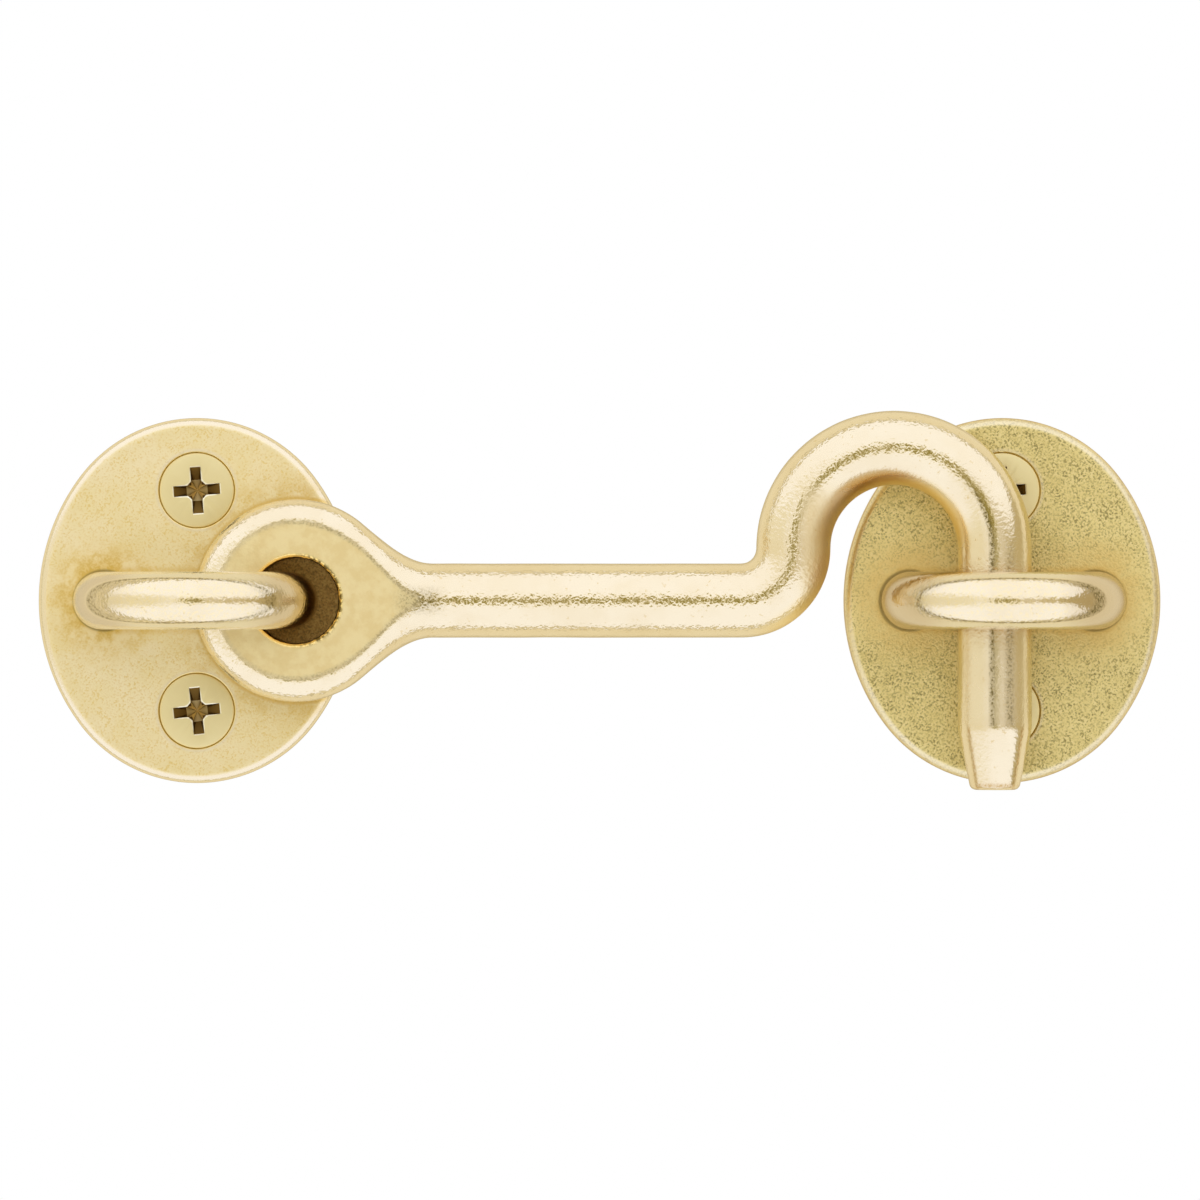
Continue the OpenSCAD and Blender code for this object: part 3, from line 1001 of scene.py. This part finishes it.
grid, turn, row = rolled_rows(body, RECESS_STEPS, 5)
off_wing = abs((turn / QUARTER + 0.5).fraction() - 0.5) * QUARTER
worn = along(row, [flare, flare, 0.0, 0.0, 0.0])
wing_reach = along(row, [RECESS_REACH, RECESS_REACH, RECESS_REACH, STAR_REACH, STAR_REACH]) + worn
wing = (wing_reach / off_wing.cosine()).least((RECESS_HALF_WIDTH + worn) / (off_wing.sine() + TINY))
corner = along(row, [RECESS_CORNER, RECESS_CORNER, RECESS_CORNER, STAR_CORNER, STAR_CORNER]) + worn
cross = wing.most(corner / (off_wing.cosine() + off_wing.sine()))
cross = cross * along(row, [0.0, 1.0, 1.0, 1.0, 0.0])
recess_down = along(row, [-ABOVE_FACE, -ABOVE_FACE, RECESS_WEAR, RECESS_DEPTH, RECESS_DEPTH + STAR_DEPTH])
punch = weld(grid, cross * turn.cosine(), recess_down, 0 - cross * turn.sine())
cut = cut_away(body, punch)
print(f"recess cut {(RECESS_DEPTH + STAR_DEPTH) / MM:.1f} mm deep")

# %% Mark the recess for the finish
spot = cut.node("GeometryNodeInputPosition")
from_axis = spread(spot.axis("X"), spot.axis("Z"))
near_axis = from_axis.fade(0.75 * head_radius, 0.7 * head_radius)
near_axis = near_axis * spot.axis("Y").fade(shank_start, 0.9 * shank_start)
in_recess = near_axis * spot.axis("Y").fade(0.9 * RECESS_WEAR, RECESS_WEAR)
# The worn edge of the recess, marked for its painted highlight.
worn_edge_highlight = near_axis * spot.axis("Y").fade(0.1 * RECESS_WEAR, 0.2 * RECESS_WEAR)
star = from_axis.fade(0.8 * STAR_REACH, 0.6 * STAR_REACH)
star = star * spot.axis("Y").fade(RECESS_DEPTH, 1.02 * RECESS_DEPTH)
rim = from_axis.fade(head_radius - HEAD_WEAR, head_radius - 0.3 * HEAD_WEAR)
cut = mark(cut, {"recess": in_recess, "worn": worn_edge_highlight, "star": star}, "FACE")
cut = mark(cut, {"rim": rim})
print("screw marks: recess, worn, star, rim")

# %% Set the four screws
screw_turns = {
    "hook_screw_upper": 4,
    "hook_screw_lower": 6,
    "keeper_screw_upper": 2,
    "keeper_screw_lower": 9,
}
seats = bpy.data.meshes.new("screw seats")
seat_boxes = [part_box(name) for name in screw_turns]
seats.from_pydata([((a.x + b.x) / 2, a.y, (a.z + b.z) / 2) for a, b in seat_boxes], [], [])
turns = seats.attributes.new("turn", "FLOAT", "POINT")
turns.data.foreach_set("value", [math.radians(-angle) for angle in screw_turns.values()])
screw_turn = cut.node("GeometryNodeInputNamedAttribute", {"Name": "turn"}, data_type="FLOAT")
about_axis = cut.node("ShaderNodeCombineXYZ", {"Y": screw_turn})
placed = cut.node(
    "GeometryNodeInstanceOnPoints",
    {"Points": screw_start, "Instance": cut, "Rotation": about_axis},
)
screws = run_tree(finish_shape(placed, screw_brass), "wood_screws", SCREW_INPUTS, seats, sharp_angle=20)
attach(screws, "plates")
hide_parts(*screw_turns)

# %% [markdown]
# ## The finish of the plates
# The hook's plate is pale, with golden stains beside the staple and the ring, and painted brown shade
# inside the eye. The keeper's plate was left rougher: it is olive and full of small dark pits, and its
# wall and back are brown. On both, a golden reflection of each staple leg is painted round it, and a
# shadow along the staple and a dark line round each leg are painted too. On the hook's plate a
# shadow is also painted along the ring. The rim is rubbed bright, and that and a pale ring round each
# screw are partly painted highlight. Two separate recipes would do, but they would differ mostly in
# tones and in the strength of each step. So both share one.

# %% Tones and sizes
PALE_PLATE = ((0.97, 0.85, 0.55, 1), (0.92, 0.78, 0.41, 1), (0.82, 0.60, 0.17, 1))
OLIVE_PLATE = ((0.88, 0.75, 0.33, 1), (0.76, 0.63, 0.25, 1), (0.30, 0.25, 0.09, 1))
# The halo gold is a painted reflection of each staple leg, and the stain gold serves for stains and for
# painted shadow.
HALO_GOLD = (0.90, 0.70, 0.28, 1)
STAIN_AND_SHADOW_GOLD = (0.76, 0.52, 0.13, 1)
PLATE_ROUGHNESS = 0.5
PLATE_RELIEF = 0.02 * MM
PLATE_SPECK = 0.19 * MM
PLATE_CLUMP = 0.9 * MM
PLATE_PATCH = 1.6 * MM
PLATE_CLOUD = 7 * MM
RIM_DEPTH = 0.08 * MM
STAIN_DEPTH = 0.5 * MM
WALL_DEPTH = (0.4 * MM, 0.6 * MM)
SINK_GAP = 0.1 * MM
screw_z = (screw_low.z + screw_high.z) / 2
sink_radius = head_radius + SINK_GAP
print(f"screws {screw_z / MM:.1f} mm above and below the middle")


# %% What both plates share
def plate_brass(name, plate_x, tones, speckles, stains, highlight_and_wear_strength):
    """What both plates share: the signals, the colour and the specks."""
    brass = Brass(name)
    across = abs(brass.place.axis("X") - plate_x)
    upright = abs(brass.place.axis("Z"))
    below_face = brass.place.axis("Y") - plate_low.y
    brass.rim = below_face.fade(0, RIM_DEPTH)
    brass.front = below_face.fade(STAIN_DEPTH, RIM_DEPTH)
    brass.patches = brass.noise(PLATE_PATCH, 3.0).fade(0.38, 0.62)
    clouds = brass.noise(PLATE_CLOUD).fade(0.35, 0.65)
    fine = brass.noise(PLATE_SPECK)
    clumps = brass.noise(PLATE_CLUMP, 3.0).fade(0.38, 0.60)
    light, deep, speck = tones
    colour = (0.5 * clouds + 0.3 * brass.patches).blend(light, deep)
    from_leg = spread(across - leg_x, upright)
    from_staple = spread((across - leg_x).most(0.0), upright) - WIRE_RADIUS
    # A painted golden reflection of each staple leg on the plate around it.
    halo = from_leg.fade(7 * MM, 2.6 * MM) * (0.5 + 0.3 * brass.patches)
    colour = (halo * brass.front).blend(colour, HALO_GOLD)
    # A painted shadow band just beside the staple, and stains in patches near its legs.
    beside_staple = from_staple.fade(0.7 * MM, 0.1 * MM) * 0.5
    stained = brass.patches * (0.5 + 0.5 * fine.fade(0.40, 0.60)) * stains
    beside_staple = beside_staple + from_leg.fade(6 * MM, 3 * MM) * stained
    colour = (beside_staple * brass.front).blend(colour, STAIN_AND_SHADOW_GOLD)
    # A painted dark contact shadow right round each leg.
    at_leg = (from_leg - WIRE_RADIUS).fade(0.35 * MM, 0.1 * MM)
    colour = (at_leg * brass.front * 0.7).blend(colour, GRIME_AND_SHADE_BROWN)
    where = speckles * (0.45 + 0.55 * clumps) * from_leg.fade(2 * MM, 7 * MM)
    colour = (fine.fade(0.47, 0.64) * where).blend(colour, speck)
    colour = (fine.fade(0.47, 0.36) * where * 0.6).blend(colour, FLAT_BRASS)
    # A pale ring round each screw and the rim are made brighter: partly wear, partly painted highlight.
    from_screw = spread(across, upright - screw_z) - sink_radius
    wear_and_highlight = (from_screw.fade(0.45 * MM, 0.15 * MM) * 0.6).most(brass.rim) * highlight_and_wear_strength
    colour = wear_and_highlight.blend(colour, BRIGHT_BRASS)
    on_wall = below_face.fade(*WALL_DEPTH) * (0.5 + 0.5 * brass.patches)
    colour = (on_wall * (1 - highlight_and_wear_strength) * 1.5).blend(colour, EYE_BROWN)
    return brass, from_screw.fade(0.15 * MM, 0.05 * MM).blend(colour, GROOVE_GOLD), fine


# %% Plate brass, rough and pale
def keeper_brass():
    brass, colour, fine = plate_brass(
        "keeper plate brass", keeper_plate_x, OLIVE_PLATE, speckles=0.9, stains=0.2, highlight_and_wear_strength=0.6
    )
    return brass.fill(colour, PLATE_ROUGHNESS - 0.2 * brass.rim, 0 - fine, 2 * PLATE_RELIEF)


def hook_plate_brass():
    brass, colour, fine = plate_brass(
        "hook plate brass", hook_plate_x, PALE_PLATE, speckles=0.6, stains=0.9, highlight_and_wear_strength=1.0
    )
    x, z = brass.place.axis("X"), brass.place.axis("Z")
    # Stains in patches beside the ring, and a painted shadow line along its outline.
    beside_ring = spread(x - eye_x, z) - RING_RADIUS
    near_ring = beside_ring.fade(3.5 * MM, 0.0) * brass.patches * 0.45
    near_ring = near_ring.most(beside_ring.fade(0.6 * MM, 0.1 * MM) * 0.8)
    colour = (near_ring * brass.front).blend(colour, STAIN_AND_SHADOW_GOLD)
    # Inside the eye the plate is painted brown, with gold and dark specks, as shade.
    from_ring_leg = spread(x - (hook_plate_x + leg_x), z)
    in_eye = (fine.fade(0.50, 0.60) * 0.35).blend(EYE_BROWN, HALO_GOLD)
    in_eye = (fine.fade(0.47, 0.36) * 0.6).blend(in_eye, GRIME_AND_SHADE_BROWN)
    colour = (from_ring_leg.fade(5.2 * MM, 4.4 * MM) * brass.front).blend(colour, in_eye)
    return brass.fill(colour, PLATE_ROUGHNESS - 0.3 * brass.rim, 0 - fine, PLATE_RELIEF)


plate_finishes = {"hook_backplate": hook_plate_brass(), "keeper_backplate": keeper_brass()}

# %% [markdown]
# ## The plates
# A plate's outline is an oval of four arcs. Their centres are the corners of 3-4-5 triangles, so the
# arcs meet without a corner. A scaled circle would be close, but its rim would not be even. Seen
# from an arc's centre, a smaller oval is the same arc with a smaller radius, so each row of the rim
# goes inwards by the rim's own rounding. Then the plate is drilled and countersunk, and a narrow
# bevel takes the knife edges off, as tumbling does.

# %% Sizes of the plates, from their box
plate_width = plate_high.x - plate_low.x
plate_height = plate_high.z - plate_low.z
plate_thickness = plate_high.y - plate_low.y
oval_unit = (plate_height - plate_width) / 4
end_centre = 3 * oval_unit
side_centre = 4 * oval_unit
end_radius = plate_height / 2 - end_centre
side_radius = plate_width / 2 + side_centre
JOINT_SINE = 3 / 5
RIM_ROUND = 0.9 * MM
RIM_STEPS = 14
OVAL_STEPS = 256
HOLE_GAP = 0.25 * MM
TAIL_GAP = 0.05 * MM
PAST = 1 * MM
hole_radius = THREAD_RADIUS + HOLE_GAP
sink_land = screw_low.y - plate_low.y + HEAD_LAND
print(f"plate {1000 * plate_width:.1f} x {1000 * plate_height:.1f} x {1000 * plate_thickness:.1f} mm")

# %% Drills
def turned_solid(start, turns, corners):
    """A solid turned about the Y axis, from its (radius, depth) corners, front to back."""
    grid, turn, row = rolled_rows(start, turns, len(corners))
    radius = along(row, [corner[0] for corner in corners])
    depth = along(row, [corner[1] for corner in corners])
    return weld(grid, radius * turn.cosine(), depth, 0 - radius * turn.sine())


def shifted(shape, move):
    return shape.node("GeometryNodeTransform", {"Geometry": shape, "Translation": move})


print(f"screw holes {2000 * hole_radius:.1f} mm, countersunk to {2000 * sink_radius:.1f} mm")

# %% Blank and drill
PLATE_INPUTS = {"Thickness": plate_thickness, "Rim": RIM_ROUND}


def plate_shape(material):
    start, (thick, rim) = shape_tree("plate rule", PLATE_INPUTS)
    last = RIM_STEPS + 1
    grid, turn, row = rolled_rows(start, OVAL_STEPS, last + 3)
    over_rim = ((row - 1) / RIM_STEPS).most(0.0).least(1.0) * (math.pi / 2)
    inset = rim * (1 - over_rim.sine())
    down = rim * (1 - over_rim.cosine()) + (row - last).most(0.0).least(1.0) * (thick - rim)
    on_end = abs(turn.sine()).beyond(JOINT_SINE)
    arc_radius = side_radius + on_end * (end_radius - side_radius) - inset
    right = turn.cosine().sign()
    up = turn.sine().sign()
    filled = row.least(1.0) * (last + 2 - row).least(1.0)
    oval_x = arc_radius * turn.cosine() - (1 - on_end) * right * side_centre
    oval_z = arc_radius * turn.sine() + on_end * up * end_centre
    blank = weld(grid, oval_x * filled, down, 0 - oval_z * filled)
    screw_hole = turned_solid(blank, WIRE_STEPS, [
        (0.0, -PAST),
        (sink_radius, -PAST),
        (sink_radius, sink_land),
        (hole_radius, sink_land + (sink_radius - hole_radius) / head_slope),
        (hole_radius, plate_thickness + PAST),
        (0.0, plate_thickness + PAST),
    ])
    tail_hole = turned_solid(blank, WIRE_STEPS, [
        (0.0, -PAST),
        (TAIL_RADIUS + TAIL_GAP, -PAST),
        (TAIL_RADIUS + TAIL_GAP, plate_thickness - rivet_height),
        (rivet_radius + TAIL_GAP, plate_thickness),
        (rivet_radius + TAIL_GAP, plate_thickness + PAST),
        (0.0, plate_thickness + PAST),
    ])
    holes = [shifted(screw_hole, (0, 0, side * screw_z)) for side in (-1, 1)]
    holes += [shifted(tail_hole, (side * leg_x, 0, 0)) for side in (-1, 1)]
    return finish_shape(cut_away(blank, holes), material)


print(f"rim rounded by {RIM_ROUND / MM:.1f} mm in {RIM_STEPS} steps")

# %% Soften and set both plates
EDGE_WEAR = 0.1 * MM
KNIFE_ANGLE = math.radians(35)
FLUSH_ANGLE = math.radians(0.5)
FLAT_FACE = 0.9999


def make_plate(name, node, plate_x):
    shape = shifted(plate_shape(plate_finishes[node]), (plate_x, plate_low.y, 0))
    plate = run_tree(shape, name, PLATE_INPUTS)
    worked = bmesh.new()
    worked.from_mesh(plate.data)
    bmesh.ops.dissolve_limit(worked, angle_limit=FLUSH_ANGLE, verts=worked.verts, edges=worked.edges)
    knife_edges = [edge for edge in worked.edges if edge.calc_face_angle(0.0) > KNIFE_ANGLE]
    bmesh.ops.bevel(
        worked, geom=knife_edges, offset=EDGE_WEAR, segments=2, profile=0.5, affect="EDGES", material=-1
    )
    for face in worked.faces:
        face.smooth = abs(face.normal.y) < FLAT_FACE
    worked.to_mesh(plate.data)
    worked.free()
    print(f"{name}: {len(knife_edges)} knife edges worn")
    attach(plate, "plates")
    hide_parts(node)


make_plate("hook_oval_plate", "hook_backplate", hook_plate_x)
make_plate("keeper_oval_plate", "keeper_backplate", keeper_plate_x)

# %% [markdown]
# ## The size of the dressed latch
# The looks must not make the latch larger. A glance would not show a tenth of a millimetre, so both
# boxes are printed, one under the other.

# %% Print both boxes
dressed_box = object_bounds()
boxes = {"construction": construction_box, "dressed": dressed_box}
for name, (low_corner, high_corner) in boxes.items():
    print(name, [round(side / MM, 2) for side in high_corner - low_corner], "mm")
